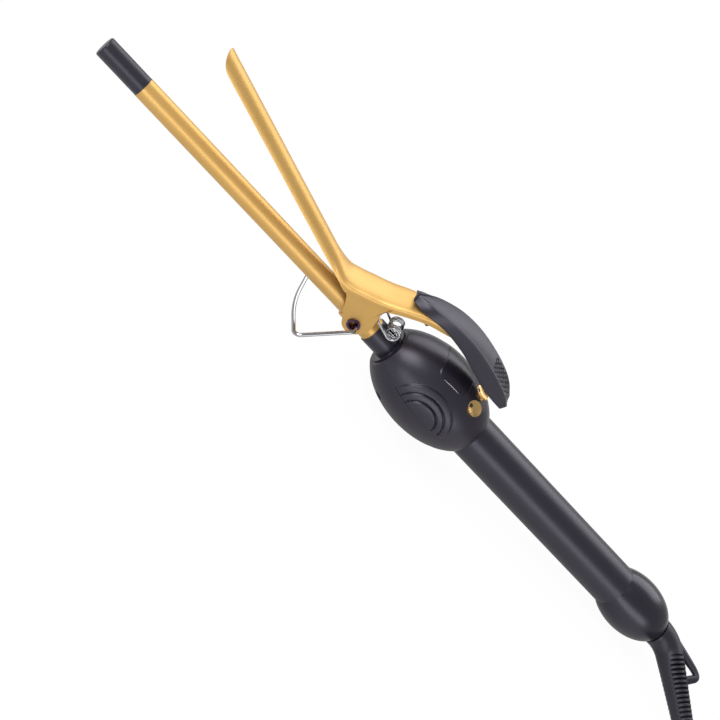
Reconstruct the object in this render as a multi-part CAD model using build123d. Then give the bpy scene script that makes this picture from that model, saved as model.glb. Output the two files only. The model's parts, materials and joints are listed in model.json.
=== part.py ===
from build123d import *
import os
from math import asin, atan, atan2, ceil, cos, degrees, hypot, pi, radians, sin, sqrt, tan

# A slim curling iron, in millimetres. It is drawn in its own frame first: X runs from the
# cool tip to the cord, Z points to the clip, and the hinge axis crosses the barrel axis at
# the origin. One placing at the end lays it on its housing and end cap, on z = 0.

# Barrel and cool tip
barrel_r = 4.5
barrel_wall = 0.6
barrel_front_x = -123.5
barrel_rear_x = 19.0
tip_length = 20.9
tip_r = 4.4
tip_end_round = 0.8
spigot_length = 9.0
inner_fit = 0.05

# Heater inside the barrel
heater_r = 2.5
heater_front_x = -95.0
heater_rear_x = 14.0
sleeve_front_x = -110.0
sleeve_rear_x = 6.0
sensor_length = 11.0

# Hinge saddle, hollow rivets and neck
saddle_r = 5.5
saddle_front_x = -5.5
saddle_rear_x = 9.0
saddle_pad_r = 4.2
saddle_half_width = 6.0
rivet_r = 2.4
rivet_bore_r = 2.05
rivet_flange_r = 2.9
rivet_flange_thick = 0.5
hinge_clearance = 0.05
side_gap = 0.25
neck_r = 6.0
neck_flat_z = 5.2
neck_rear_x = 26.0
neck_flange_r = 8.0
neck_flange_thick = 3.0
ring_r = 8.5
ring_front_x = 18.6
ring_rear_x = 21.6

# Egg-shaped housing
egg_x = 45.7
egg_half_length = 31.0
egg_r = 19.3
egg_wall = 2.0
egg_front_x = 19.3
egg_rear_x = 71.0
parting_gap = 0.05
boss_r = 2.6
boss_x = (31.0, 62.0)
boss_y = 11.0
screw_top_z = 5.5
screw_r = 1.1
screw_head_r = 2.0
screw_head_thick = 1.4
screw_sunk = 2.6

# Raised half-round ridges on each side of the housing
ridge_x = 43.8
ridge_rise = 0.7
ridge_radii = (14.5, 10.6, 7.2)
ridge_widths = (2.4, 2.2, 7.2)
ridge_squash = 0.84
ridge_flank = 52.0

# Display window, board and buttons
window_front_x = 36.0
window_rear_x = 51.0
window_half_width = 10.6
window_thick = 1.2
window_fit = 0.12
window_corner = 3.0
board_front_x = 29.0
board_rear_x = 63.0
board_half_width = 6.0
board_z = 6.6
board_thick = 1.6
post_inset = 2.0
post_y = 5.2
post_r = 1.2
lcd_length = 13.0
lcd_half_width = 5.5
lcd_room = 1.2
button_x = 58.0
button_turns = (28.5, 0.0, -28.5)
button_names = ("button_minus", "button_power", "button_plus")
button_r = 3.4
button_fit = 0.2
button_height = 1.7
button_sunk = 0.9
button_dish_r = 9.0
button_lip = 0.6
button_depth = 3.0
button_floor = 0.8
button_stem_r = 1.5
button_rest_gap = 0.7
switch_size = 4.0
switch_height = 1.6
switch_sink = 0.6
carrier_r = 11.6
carrier_thick = 1.4
carrier_half_length = 3.2

# Handle tube and end cap
handle_r = 10.26
handle_wall = 1.8
handle_front_x = 65.0
handle_rear_x = 178.0
bulb_x = 186.0
bulb_half_length = 21.0
bulb_r = 13.3
bulb_wall = 2.2
bulb_front_x = 172.7
bulb_rear_x = 205.0
bulb_back_wall = 7.0
cap_screw_x = 175.5
cap_screw_r = 1.0
cap_screw_length = 4.6
cap_screw_sunk = 0.4

# Cord swivel and boot
hub_r = 3.6
hub_flange_r = 7.0
hub_flange_thick = 2.4
hub_front_x = 186.0
hub_end_x = 206.0
slip_ring_r = 4.6
slip_ring_width = 2.0
slip_ring_x = (189.6, 193.2)
finger_thick = 0.5
finger_width = 1.8
finger_inset = 6.0
swivel_gap = 0.3
boot_start_x = 206.0
boot_straight = 0.6
boot_r = 6.85
boot_run_r = 6.25
boot_end_r = 4.4
boot_bend = 55.4
boot_bend_radius = 12.2
boot_bend_steps = 8
boot_turn = 84.5
boot_rib_count = 17
boot_rib_pitch = 2.08
boot_rib_gap = 0.9
boot_rib_depth = 1.0
boot_rib_blunt = 0.25
boot_spine_first = 3.0
boot_spine_last = 1.0
boot_spine_proud = 0.1
loop_r = 1.5
loop_turn = 28.0
loop_bend = 2.6
loop_corners = ((-5.0, 4.5), (10.1, 12.05), (12.3, 4.5))

# Clip: a stamped channel, drawn closed on the barrel and then swung open
clip_open = 16.4
clip_sheet = 0.7
clip_inner_r = 4.75
clip_wrap = 65.0
clip_mouth = 2.0
clip_shoulder = 0.6
blade_front_x = -121.2
blade_end_length = 7.0
ear_lobe_r = 5.0
ear_inner = 6.25
ear_thick = 0.8
seat_bar_x = 0.2
seat_bar_z = 11.0
seat_bar_tilt = 43.0
seat_bar_half = 1.6

# Thumb rest on the clip's arm
rest_half_width = 6.3
rest_top = ((-1.4, 29.4), (6.6, 35.6), (14.3, 40.2), (24.0, 43.5), (36.0, 45.2), (46.0, 45.4), (56.4, 42.9))
rest_under = ((54.6, 39.2), (50.0, 38.6), (44.0, 37.6), (27.0, 37.0), (20.0, 36.0), (8.0, 31.8), (-2.0, 27.0))
rest_edge = 0.6
rest_edge_from_z = 41.0
rest_edge_least = 6.0
rest_end_chamfer = 1.6
pad_pitch = 2.0
pad_count = 4
pad_depth = 0.5
rest_screw_x = 10.4
rest_screw_tip_z = 36.0
rest_screw_head_z = 27.4
rest_screw_r = 1.3
rest_screw_head_r = 2.3
rest_screw_head_thick = 1.6

# Double torsion spring behind the hinge
spring_wire = 1.1
spring_r = 2.7
spring_x = 13.6
spring_turns = 2
spring_pitch = 1.7
spring_leg_y = 1.35
spring_leg_end_x = 16.3
spring_loop_x = 4.7
spring_loop_z = 8.7
spring_loop_bend = 1.2
spring_loop_gap = 0.9

# Wire stand
wire_r = 0.85
stand_drop = 40.0
stand_skew = 7.0
stand_shift = 0.6
stand_foot_half = 21.0
stand_foot_reach = 23.1
stand_bow = 3.5
stand_corner_r = 2.6
stand_end_bend = 2.0
stand_end_out = 12.2
stand_end_in = 5.9

# Mains lead: free stretch, coil, short tail and plug, laid on the floor. Places on the floor
# count from the spot under the hinge before the last shift to the middle of the iron.
cord_r = 2.75
cord_first_run = 20.0
cord_route = ((268.5, -61.2, 3.3),)
cord_last_run = 21.0
coil_x = 310.4
coil_y = -21.0
coil_outer_r = 41.4
coil_pitch = 6.0
coil_layer = 5.95
coil_turns = 7.0
coil_climb = 0.5
coil_lift = 1.2
coil_stub = 5.5
tail_first_run = 29.4
tail_route = ((361.7, -57.4, 7.2), (370.8, -45.4, 6.6))
plug_x = 370.8
plug_y = -31.0
plug_grip_length = 10.0
plug_grip_r = 4.6
plug_length = 26.0
plug_half_width = 13.0
plug_half_height = 6.6
plug_corner = 4.0
pin_r = 2.0
pin_root_r = 1.6
pin_root_length = 8.0
pin_length = 19.0
pin_spacing = 19.0
tie_wall = 0.8
tie_width = 6.0
tie_slack = 0.5
corner_share = 0.45

# Wires inside
lead_r = 0.9
lead_y = 0.8
lead_lap = 6.5
heater_lead_r = 0.65
heater_lead_y = 1.2
lead_bend = 3.0


def cyl_x(radius, x0, x1):
    """A cylinder along X from x0 to x1."""
    return Plane.YZ.offset(x0) * extrude(Circle(radius), x1 - x0)


def tube_x(outer, inner, x0, x1):
    """A tube along X from x0 to x1."""
    return Plane.YZ.offset(x0) * extrude(Circle(outer) - Circle(inner), x1 - x0)


def cyl_y(radius, y0, y1, x=0.0, z=0.0):
    """A cylinder along Y from y0 to y1."""
    return Pos(x, y0, z) * (Rot(-90, 0, 0) * extrude(Circle(radius), y1 - y0))


def cyl_z(radius, z0, z1, x=0.0, y=0.0):
    """A cylinder along Z from z0 to z1."""
    return Pos(x, y, z0) * extrude(Circle(radius), z1 - z0)


def box_between(low, high):
    """A box from its lowest to its highest corner."""
    size = [b - a for a, b in zip(low, high)]
    middle = [(a + b) / 2 for a, b in zip(low, high)]
    return Pos(*middle) * Box(*size)


def ellipsoid_x(x, half_length, radius):
    """An egg turned about X, from one half ellipse."""
    half = EllipticalCenterArc((x, 0), half_length, radius, start_angle=0, arc_size=180)
    outline = make_face([half, Line(half @ 1, half @ 0)])
    return revolve(outline, Axis.X)


def side_plate(points, y0, y1):
    """A flat plate with its outline in XZ, from y0 to y1."""
    outline = make_face(Polyline(*points, close=True))
    return Pos(0, y0, 0) * (Rot(90, 0, 0) * extrude(outline, -(y1 - y0)))


def round_wire(path, radius):
    """A round wire swept along a path."""
    section = Plane(origin=path @ 0, z_dir=path % 0) * Circle(radius)
    return sweep(section, path=path)


def biarc(start, start_dir, end, end_dir):
    """Two arcs from start to end that leave and arrive along the given directions."""
    span = end - start
    both = start_dir + end_dir
    a = 2 * (start_dir.dot(end_dir) - 1)
    b = span.dot(both)
    reach = span.dot(span) / (2 * b)
    if abs(a) > 1e-9:
        reach = (b - sqrt(b * b - a * span.dot(span))) / a
    first = start + start_dir * reach
    last = end - end_dir * reach
    middle = (first + last) * 0.5
    turn = (last - first).normalized()
    return [TangentArc(start, middle, tangent=start_dir), TangentArc(middle, end, tangent=turn)]


def winding(point, first, last, step):
    """Arcs through point(t) for t from first to last, a biarc to each step."""
    count = ceil((last - first) / step - 1e-6)
    marks = [first + (last - first) * i / count for i in range(count + 1)]
    nudge = step * 0.01
    arcs = []
    for t0, t1 in zip(marks[:-1], marks[1:]):
        d0 = (point(t0 + nudge) - point(t0 - nudge)).normalized()
        d1 = (point(t1 + nudge) - point(t1 - nudge)).normalized()
        arcs += biarc(point(t0), d0, point(t1), d1)
    return arcs


def self_gap(path, diameter, samples, apart):
    """Least gap of a wound tube to itself, over points more than apart along it."""
    points = [path @ (i / samples) for i in range(samples + 1)]
    step = path.length / samples
    skip = ceil(apart / step)
    least = min(
        (points[i] - points[j]).length
        for i in range(len(points))
        for j in range(i + skip, len(points))
    )
    return least - diameter


parts = {}


# Barrel, cool tip and heater

bore_r = barrel_r - barrel_wall
parts["barrel_tube"] = tube_x(barrel_r, bore_r, barrel_front_x, barrel_rear_x)

tip_front_x = barrel_front_x - tip_length
tip_body = cyl_x(tip_r, tip_front_x, barrel_front_x)
tip_body = fillet(tip_body.edges().sort_by(Axis.X)[0], tip_end_round)
parts["cool_tip"] = tip_body + cyl_x(bore_r - inner_fit, barrel_front_x, barrel_front_x + spigot_length)

parts["heater_rod"] = cyl_x(heater_r, heater_front_x, heater_rear_x)
parts["heater_sleeve"] = tube_x(bore_r - inner_fit, heater_r + inner_fit, sleeve_front_x, sleeve_rear_x)
parts["temperature_sensor"] = cyl_x(heater_r, heater_front_x - sensor_length, heater_front_x)


# Hinge saddle, rivets, neck and ring

saddle = cyl_x(saddle_r, saddle_front_x, saddle_rear_x)
saddle += cyl_y(saddle_pad_r, -saddle_half_width, saddle_half_width)
saddle -= cyl_x(barrel_r, saddle_front_x, saddle_rear_x)
rivet_root = barrel_r + inner_fit
rivet_out = ear_inner + ear_thick + side_gap
for side in (-1, 1):
    saddle -= cyl_y(rivet_r, *sorted((side * rivet_root, side * saddle_half_width)))
parts["hinge_saddle"] = saddle

rivets = []
for side in (-1, 1):
    flange_out = side * (rivet_out + rivet_flange_thick)
    rivet = cyl_y(rivet_r, *sorted((side * rivet_root, side * rivet_out)))
    rivet += cyl_y(rivet_flange_r, *sorted((side * rivet_out, flange_out)))
    rivets.append(rivet - cyl_y(rivet_bore_r, *sorted((side * rivet_root, flange_out))))
parts["hinge_rivets"] = Compound(children=rivets)

neck = cyl_x(neck_r, saddle_rear_x, neck_rear_x)
neck += cyl_x(neck_flange_r, neck_rear_x - neck_flange_thick, neck_rear_x)
neck -= cyl_x(barrel_r, saddle_rear_x, barrel_rear_x)
neck -= cyl_x(bore_r, barrel_rear_x, neck_rear_x)
neck -= box_between((saddle_rear_x, -neck_r, neck_flat_z), (ring_front_x, neck_r, neck_r))
parts["neck_collar"] = neck
parts["neck_ring"] = tube_x(ring_r, neck_r, ring_front_x, ring_rear_x)


# Housing: an egg shell parted level with the axis

egg = ellipsoid_x(egg_x, egg_half_length, egg_r)
egg_inside = ellipsoid_x(egg_x, egg_half_length - egg_wall, egg_r - egg_wall)
egg_span = box_between((egg_front_x, -egg_r, -egg_r), (egg_rear_x, egg_r, egg_r))

# The ridges: half rings on both flanks, standing on the parting line
ridged = ellipsoid_x(egg_x, egg_half_length + ridge_rise, egg_r + ridge_rise)
ridge_rings = []
for radius, width in zip(ridge_radii, ridge_widths):
    ring = Ellipse(radius, radius * ridge_squash)
    inner = radius - width
    if inner > 0:
        ring -= Ellipse(inner, inner * ridge_squash)
    ridge_rings.append(ring)
ridge_face = Sketch() + ridge_rings
ridge_reach = egg_r + ridge_rise
ridge_bars = Pos(ridge_x, ridge_reach, 0) * (Rot(90, 0, 0) * extrude(ridge_face, 2 * ridge_reach))
flank_y = egg_r * cos(radians(ridge_flank))
flanks = box_between((egg_front_x, -2 * egg_r, 0), (egg_rear_x, -flank_y, egg_r))
flanks += mirror(flanks, Plane.XZ)
ridges = (ridged & ridge_bars & flanks) - egg

shell = (egg & egg_span) - egg_inside
front_hole = cyl_x(ring_r, ring_front_x, ring_rear_x) + cyl_x(neck_r, ring_rear_x, neck_rear_x)
front_hole += cyl_x(neck_flange_r, neck_rear_x - neck_flange_thick, neck_rear_x)
rear_hole = cyl_x(handle_r, handle_front_x, egg_rear_x)
bosses = []
for x in boss_x:
    for y in (-boss_y, boss_y):
        bosses.append(cyl_z(boss_r, -egg_r, egg_r, x, y))
boss_block = Part() + bosses
shell += (boss_block & egg) - rear_hole
shell = shell - front_hole - rear_hole

half = 2 * egg_r
upper = shell & box_between((0, -half, parting_gap / 2), (half + egg_x, half, half))
lower = shell & box_between((0, -half, -half), (half + egg_x, half, -parting_gap / 2))
upper += ridges & box_between((0, -half, parting_gap / 2), (half + egg_x, half, half))

screws = []
for x in boss_x:
    for y in (-boss_y, boss_y):
        foot = -egg_r * sqrt(1 - ((x - egg_x) / egg_half_length) ** 2 - (y / egg_r) ** 2) + screw_sunk
        head = cyl_z(screw_head_r, foot, foot + screw_head_thick, x, y)
        screws.append(head + cyl_z(screw_r, foot + screw_head_thick, screw_top_z, x, y))
        lower -= cyl_z(screw_head_r, -egg_r, foot + screw_head_thick, x, y)
        lower -= cyl_z(screw_r, foot + screw_head_thick, 0, x, y)
        upper -= cyl_z(screw_r, 0, screw_top_z, x, y)
parts["housing_screws"] = Compound(children=screws)

# The window: a patch of the egg's own skin, set in a matching opening
window_skin = egg - ellipsoid_x(egg_x, egg_half_length - window_thick, egg_r - window_thick)
window_cut = box_between(
    (window_front_x, -window_half_width, 0), (window_rear_x, window_half_width, half)
)
window_cut = fillet(window_cut.edges().filter_by(Axis.Z), window_corner)
parts["display_window"] = window_skin & window_cut
ledge = box_between(
    (window_front_x - window_fit, -window_half_width - window_fit, 0),
    (window_rear_x + window_fit, window_half_width + window_fit, half),
)
ledge = fillet(ledge.edges().filter_by(Axis.Z), window_corner)
upper -= ledge & window_skin
sight = box_between(
    (window_front_x + egg_wall, egg_wall - window_half_width, 0),
    (window_rear_x - egg_wall, window_half_width - egg_wall, half),
)
upper -= sight

# The board, the display on it and an arch that carries the three switches
board = box_between(
    (board_front_x, -board_half_width, board_z), (board_rear_x, board_half_width, board_z + board_thick)
)
parts["circuit_board"] = board
window_middle = (window_front_x + window_rear_x) / 2
lcd_top = (egg_r - egg_wall) * sqrt(1 - (lcd_half_width / (egg_r - egg_wall)) ** 2) - lcd_room
parts["display_module"] = box_between(
    (window_middle - lcd_length / 2, -lcd_half_width, board_z + board_thick),
    (window_middle + lcd_length / 2, lcd_half_width, lcd_top),
)

carrier_ring = tube_x(
    carrier_r, carrier_r - carrier_thick, button_x - carrier_half_length, button_x + carrier_half_length
)
board_top = board_z + board_thick
carrier_foot = sqrt((carrier_r - carrier_thick) ** 2 - board_top**2)
carrier = carrier_ring & box_between((0, -half, board_top), (half + egg_x, half, half))
carrier_legs = box_between(
    (button_x - carrier_half_length, -carrier_foot - carrier_thick, board_top),
    (button_x + carrier_half_length, carrier_foot + carrier_thick, board_top + carrier_thick),
)
carrier += carrier_legs
parts["switch_carrier"] = carrier

egg_top = egg_r * sqrt(1 - ((button_x - egg_x) / egg_half_length) ** 2)
switches = []
for turn, name in zip(button_turns, button_names):
    out = Pos(button_x, 0, 0) * Rot(turn, 0, 0)
    switch_top = carrier_r + switch_height
    body = Box(switch_size, switch_size, switch_height + switch_sink)
    body = Pos(0, 0, carrier_r + (switch_height - switch_sink) / 2) * body
    switches.append(out * body - carrier)
    face = egg_top - button_sunk + button_height
    cap = cyl_z(button_r, face - button_depth, face)
    cap -= Pos(0, 0, face - button_lip + button_dish_r) * Sphere(button_dish_r)
    cap += cyl_z(button_stem_r, switch_top + button_rest_gap, face - button_depth + button_floor)
    parts[name] = out * cap
    upper -= out * cyl_z(button_r + button_fit, 0, half)
parts["key_switches"] = Compound(children=switches)

# Posts under the board, standing on the lower shell
posts = []
for x in (board_front_x + post_inset, board_rear_x - post_inset):
    for y in (-post_y, post_y):
        posts.append(cyl_z(post_r, -egg_r, board_z, x, y))
lower += (Part() + posts) & egg_inside
parts["housing_upper"] = upper
parts["housing_lower"] = lower


# Handle tube and end cap

parts["handle_tube"] = tube_x(handle_r, handle_r - handle_wall, handle_front_x, handle_rear_x)

bulb = ellipsoid_x(bulb_x, bulb_half_length, bulb_r)
bulb_inside = ellipsoid_x(bulb_x, bulb_half_length - bulb_wall, bulb_r - bulb_wall)
back_inside_x = bulb_rear_x - bulb_back_wall
cap = bulb & box_between((bulb_front_x, -half, -half), (bulb_rear_x, half, half))
cap -= bulb_inside & box_between((bulb_front_x, -half, -half), (back_inside_x, half, half))
cap -= cyl_x(handle_r, bulb_front_x, handle_rear_x)
cap -= cyl_x(hub_r + hinge_clearance, back_inside_x, bulb_rear_x)
cap_screw_z = -bulb_r * sqrt(1 - ((cap_screw_x - bulb_x) / bulb_half_length) ** 2)
cap_screw_foot = cap_screw_z + cap_screw_sunk
cap_screw = cyl_z(cap_screw_r, cap_screw_foot, cap_screw_foot + cap_screw_length, cap_screw_x)
cap -= cyl_z(cap_screw_r, -half, 0, cap_screw_x)
parts["handle_tube"] -= cyl_z(cap_screw_r, -half, 0, cap_screw_x)
parts["end_cap"] = cap
parts["end_cap_screw"] = cap_screw


# Swivel hub, slip rings and contact fingers

flange_x = back_inside_x - hub_flange_thick - swivel_gap
hub = cyl_x(hub_r, hub_front_x, hub_end_x)
hub += cyl_x(hub_flange_r, flange_x, flange_x + hub_flange_thick)
parts["swivel_hub"] = hub
rings = []
for x in slip_ring_x:
    rings.append(tube_x(slip_ring_r, hub_r, x, x + slip_ring_width))
parts["slip_rings"] = Compound(children=rings)
fingers = []
for x, side in zip(slip_ring_x, (-1, 1)):
    y0 = slip_ring_r + swivel_gap
    middle = x + slip_ring_width / 2
    finger = box_between(
        (handle_rear_x - finger_inset, y0, -finger_width / 2),
        (middle + finger_width / 2, y0 + finger_thick, finger_width / 2),
    )
    foot = box_between(
        (handle_rear_x - finger_inset, y0, -finger_width / 2),
        (handle_rear_x - finger_inset + finger_thick, handle_r - handle_wall, finger_width / 2),
    )
    finger += foot
    fingers.append(finger if side > 0 else mirror(finger, Plane.XZ))
parts["contact_fingers"] = Compound(children=fingers)


# Boot: a smooth elbow, ribs with two plain spines and a hang loop, drawn bending to -Z and then turned

def boot_place(item):
    """Turn the boot about the handle's axis to the side that it leans to."""
    return Rot(-boot_turn, 0, 0) * item


bend = radians(boot_bend)
elbow_x = boot_start_x + boot_straight
elbow_sections = []
for i in range(boot_bend_steps + 1):
    share = i / boot_bend_steps
    x = elbow_x + boot_bend_radius * sin(bend * share)
    z = -boot_bend_radius * (1 - cos(bend * share))
    radius = boot_r + (boot_run_r - boot_r) * share
    place = Pos(x, 0, z) * Rot(0, boot_bend * share, 0)
    elbow_sections.append(place * (Plane.YZ * Circle(radius)))
elbow = loft(elbow_sections) + cyl_x(boot_r, boot_start_x, elbow_x)
elbow_end = (x, 0, z)
rib_sections = []
for i in range(boot_rib_count):
    shrink = (boot_run_r - boot_end_r) * i / (boot_rib_count - 1)
    crest = boot_run_r - shrink
    x0 = i * boot_rib_pitch
    for x, radius in (
        (x0, crest - boot_rib_depth if i else boot_run_r),
        (x0 + boot_rib_gap / 2, crest - boot_rib_depth),
        (x0 + boot_rib_gap, crest),
        (x0 + boot_rib_pitch - boot_rib_blunt, crest),
    ):
        rib_sections.append(Plane.YZ.offset(x) * Circle(radius))
ribbed = loft(rib_sections, ruled=True)
rib_length = boot_rib_count * boot_rib_pitch - boot_rib_blunt
run_place = Pos(*elbow_end) * Rot(0, boot_bend, 0)
spine = loft([
    Plane.YZ * Circle(boot_run_r + boot_spine_proud),
    Plane.YZ.offset(rib_length) * Circle(boot_end_r + boot_spine_proud),
])
spine_plan = Polyline(
    (0, -boot_spine_first),
    (rib_length, -boot_spine_last),
    (rib_length, boot_spine_last),
    (0, boot_spine_first),
    close=True,
)
spine &= extrude(make_face(spine_plan), boot_r * 2, both=True)
boot = elbow + run_place * (ribbed + spine)
loop_line = FilletPolyline(*[(x, 0, z) for x, z in loop_corners], radius=loop_bend)
boot += run_place * Rot(loop_turn, 0, 0) * round_wire(loop_line, loop_r)
parts["strain_relief"] = boot_place(boot)
boot_end = boot_place(run_place * Pos(rib_length, 0, 0)).position
boot_dir = boot_place(run_place * Pos(rib_length + 1, 0, 0)).position - boot_end


# Clip: a loft of channel sections, closed on the barrel

outer_r = clip_inner_r + clip_sheet
wrap = radians(clip_wrap)
blade_half = outer_r * sin(wrap)
blade_low = outer_r * cos(wrap)
ear_out = ear_inner + ear_thick

# Each row: x, half width, low edge, height of the side, crown, sheet measured upright
clip_rows = (
    (blade_front_x, blade_half, blade_low - 0.3, blade_low + 0.1, outer_r, clip_sheet),
    (-36.0, blade_half, blade_low - 0.3, blade_low + 0.1, outer_r, clip_sheet),
    (-22.0, blade_half + 1.2, blade_low + 1.0, blade_low + 2.2, outer_r + 0.6, clip_sheet),
    (-14.0, ear_out, blade_low + 1.4, 8.2, 9.4, clip_sheet * 1.2),
    (-6.0, ear_out, 9.0, 16.6, 17.4, clip_sheet * 1.4),
    (1.0, ear_out - 0.6, 20.6, 25.0, 25.6, clip_sheet * 1.4),
    (8.0, ear_out - 1.4, 28.4, 32.0, 32.4, clip_sheet * 1.2),
    (20.0, 2.4, 34.6, 36.2, 36.4, clip_sheet),
)


def channel(x, half_width, low, side, crown):
    """A flat-bottomed outline with an arched top, square to X."""
    left = Line((-half_width, low), (-half_width, side))
    top = ThreePointArc((-half_width, side), (0, crown), (half_width, side))
    right = Line((half_width, side), (half_width, low))
    base = Line((half_width, low), (-half_width, low))
    return Plane.YZ.offset(x) * make_face([left, top, right, base])


clip_outer = loft(
    [channel(x, w, low, side, crown) for x, w, low, side, crown, _ in clip_rows],
    ruled=True,
)
clip_inner = loft(
    [
        channel(x, w - clip_sheet, low - clip_mouth, side - clip_sheet * clip_shoulder, crown - sheet)
        for x, w, low, side, crown, sheet in clip_rows
    ],
    ruled=True,
)
clip = clip_outer - clip_inner
tip_back_x = blade_front_x + blade_end_length
tip_cut = box_between((blade_front_x, -blade_half, 0), (tip_back_x, blade_half, outer_r))
tip_keep = Pos(tip_back_x, 0, 0) * extrude(Ellipse(blade_end_length, blade_half), outer_r)
clip -= tip_cut - tip_keep
ear_outline = (
    (-14.5, 3.7),
    (-10.6, 1.3),
    (-6.7, -1.9),
    (-3.5, -3.5),
    (5.0, 0.0),
    (5.7, 3.2),
    (4.2, 6.2),
    (1.6, 9.4),
    (-1.2, 12.8),
    (-2.6, 19.6),
    (-6.0, 16.4),
    (-14.5, 8.0),
)
for side in (-1, 1):
    y0, y1 = sorted((side * ear_inner, side * ear_out))
    clip += side_plate(ear_outline, y0, y1) + cyl_y(ear_lobe_r, y0, y1)
seat_bar = Pos(seat_bar_x, 0, seat_bar_z) * Rot(0, seat_bar_tilt, 0)
clip += seat_bar * Box(2 * seat_bar_half, 2 * ear_inner, clip_sheet)
clip -= cyl_y(rivet_r + hinge_clearance, -ear_out, ear_out)
clip -= cyl_z(rest_screw_r, 0, rest_screw_tip_z, rest_screw_x)


# Thumb rest: a solid grip that sits on the arm, with a ribbed pad at its end

rest_profile = make_face(
    [
        Polyline(*rest_top),
        Line(rest_top[-1], rest_under[0]),
        Polyline(*rest_under),
        Line(rest_under[-1], rest_top[0]),
    ]
)
rest = Pos(0, -rest_half_width, 0) * (Rot(90, 0, 0) * extrude(rest_profile, -2 * rest_half_width))
rest = chamfer(rest.edges().filter_by(Axis.Y).sort_by(Axis.X)[-2:], rest_end_chamfer / 2)
side_faces = rest.faces().sort_by(Axis.Y)
long_edges = [
    edge
    for face in (side_faces[0], side_faces[-1])
    for edge in face.edges()
    if (edge @ 0.5).Z > rest_edge_from_z and edge.length > rest_edge_least
]
rest = chamfer(long_edges, rest_edge)
pad_top = rest_top[-2][1]
for i in range(pad_count):
    x = rest_top[-2][0] + (i + 1) * pad_pitch
    along = (x - rest_top[-2][0]) / (rest_top[-1][0] - rest_top[-2][0])
    groove_z = pad_top + (rest_top[-1][1] - pad_top) * along
    rest -= Pos(x, 0, groove_z) * Rot(0, 45, 0) * Box(pad_depth, 4 * rest_half_width, pad_depth)
rest -= clip_outer
rest -= cyl_z(rest_screw_r, 0, rest_screw_tip_z, rest_screw_x)
rest_screw = cyl_z(rest_screw_r, rest_screw_head_z, rest_screw_tip_z, rest_screw_x)
rest_screw += cyl_z(rest_screw_head_r, rest_screw_head_z - rest_screw_head_thick, rest_screw_head_z, rest_screw_x)

swing = Rot(0, clip_open, 0)
parts["clip"] = swing * clip
parts["thumb_rest"] = swing * rest
parts["thumb_rest_screw"] = swing * rest_screw


# Torsion spring: a hairpin on the neck's flat, two coils and a loop under the clip's seat bar

leg_z = neck_flat_z + spring_wire / 2 + inner_fit
coil_z = leg_z + spring_r


def spring_point(side, t):
    """A point of one coil after t turns, starting at its foot."""
    a = 2 * pi * t
    y = side * (spring_leg_y + spring_pitch * t)
    return Vector(spring_x - spring_r * sin(a), y, coil_z - spring_r * cos(a))


# Where the coil lets go of its circle to run straight to the loop
reach_x = spring_x - spring_loop_x
reach_z = spring_loop_z - coil_z
let_go = asin(spring_r / hypot(reach_x, reach_z)) + atan2(reach_z, reach_x)
coil_end = spring_turns + let_go / (2 * pi)


def spring_side(side):
    """The edges of one coil and its leg, from the hairpin out to the loop's end."""
    arcs = winding(lambda t: spring_point(side, t), 0.0, coil_end, 0.25)
    start = arcs[-1] @ 1
    heading = arcs[-1] % 1
    corner = start + heading * (reach_x / cos(let_go) - spring_r * tan(let_go))
    end = Vector(corner.X, side * spring_loop_gap, corner.Z)
    leg = FilletPolyline(start, corner, end, radius=spring_loop_bend)
    return arcs + leg.edges()


leg_run = spring_leg_end_x - spring_x
hairpin_y = spring_leg_y - leg_run * spring_pitch / (2 * pi * spring_r)
left_leg = Line((spring_x, -spring_leg_y, leg_z), (spring_leg_end_x, -hairpin_y, leg_z))
right_leg = Line((spring_leg_end_x, hairpin_y, leg_z), (spring_x, spring_leg_y, leg_z))
hairpin = [left_leg, TangentArc(left_leg @ 1, right_leg @ 0, tangent=left_leg % 1), right_leg]
spring_path = Wire(spring_side(-1) + hairpin + spring_side(1))
spring_gap = self_gap(spring_path, spring_wire, 500, 4 * spring_wire)
print("spring gap to itself", round(spring_gap, 2), "length", round(spring_path.length, 1))
parts["clip_spring"] = round_wire(spring_path, spring_wire / 2)


# Wire stand: a bowed U whose ends sit loosely in the rivets

def stand_at(y, reach):
    """A point of the stand in its own plane, turned askew and swung down."""
    skew = radians(stand_skew)
    drop = radians(stand_drop)
    across = y * cos(skew) - reach * sin(skew) + stand_shift
    down = reach * cos(skew) + y * sin(skew)
    return Vector(-down * cos(drop), across, -down * sin(drop))


stand_points = [
    stand_at(-stand_end_in, 0),
    stand_at(-stand_end_out, 0),
    stand_at(-stand_foot_half, stand_foot_reach),
    stand_at(0, stand_foot_reach + stand_bow),
    stand_at(stand_foot_half, stand_foot_reach),
    stand_at(stand_end_out, 0),
    stand_at(stand_end_in, 0),
]
bow_radius = corner_share * hypot(stand_foot_half, stand_bow) / tan(atan(stand_bow / stand_foot_half))
stand_path = FilletPolyline(
    *stand_points,
    radius=[stand_end_bend, stand_corner_r, bow_radius, stand_corner_r, stand_end_bend],
)
parts["stand_wire"] = round_wire(stand_path, wire_r)


# Wires inside the handle and neck

twin = cyl_x(lead_r, board_rear_x - lead_lap, handle_rear_x - lead_lap)
twin = twin.moved(Pos(0, -lead_y, 0)) + twin.moved(Pos(0, lead_y, 0))
parts["power_leads"] = Pos(0, 0, board_z - lead_r) * twin
heater_leads = []
lead_z = board_z - heater_lead_r
for y in (-heater_lead_y, heater_lead_y):
    path = FilletPolyline(
        (heater_rear_x, y, 0),
        (neck_rear_x - lead_lap / 2, y, 0),
        (neck_rear_x + lead_lap, y, lead_z),
        (board_front_x + 2 * lead_lap, y, lead_z),
        radius=lead_bend,
    )
    heater_leads.append(round_wire(path, heater_lead_r))
parts["heater_leads"] = Compound(children=heater_leads)


# Placing: the line that touches the undersides of housing and end cap becomes the floor

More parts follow.
